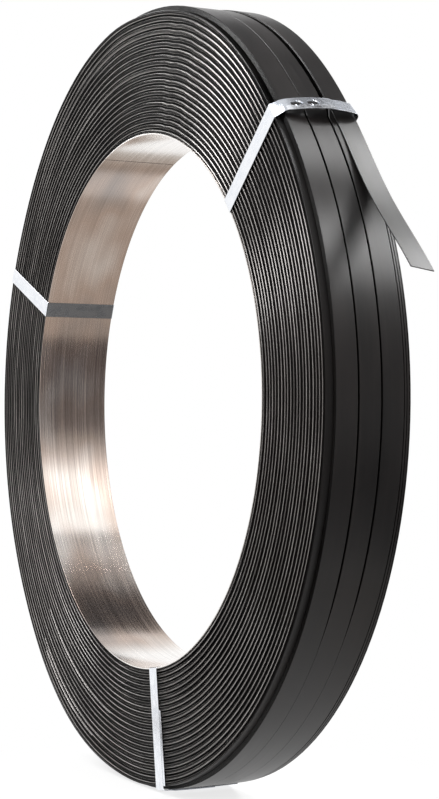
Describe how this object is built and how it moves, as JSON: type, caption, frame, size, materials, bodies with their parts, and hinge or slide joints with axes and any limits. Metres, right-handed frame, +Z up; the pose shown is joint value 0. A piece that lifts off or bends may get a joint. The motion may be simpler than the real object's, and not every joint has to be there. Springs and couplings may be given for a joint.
{
  "type": "roll of steel strapping",
  "caption": "Wound coil of black steel strap on a bare steel core ring, held by flat steel ties round its section, with the strap's free end left straight.",
  "frame": {"origin": "centre of the bore at mid-width", "axes": "+Y along the coil's axis, with the front end towards -Y; +Z up as the coil stands on its rim; +X to the side that the free end leaves on"},
  "size_m": [0.6162, 0.062, 0.5939],
  "materials": {
    "strap_black": "gloss black lacquer on cold-rolled steel strap",
    "core_steel": "bare cold-rolled sheet steel",
    "tie_steel": "bare bright flat steel"
  },
  "bodies": {
    "root": {"strap_coil": "strap_black", "core_ring": "core_steel", "tie_upper": "tie_steel", "tie_left": "tie_steel", "tie_bottom": "tie_steel"}
  },
  "joints": []
}
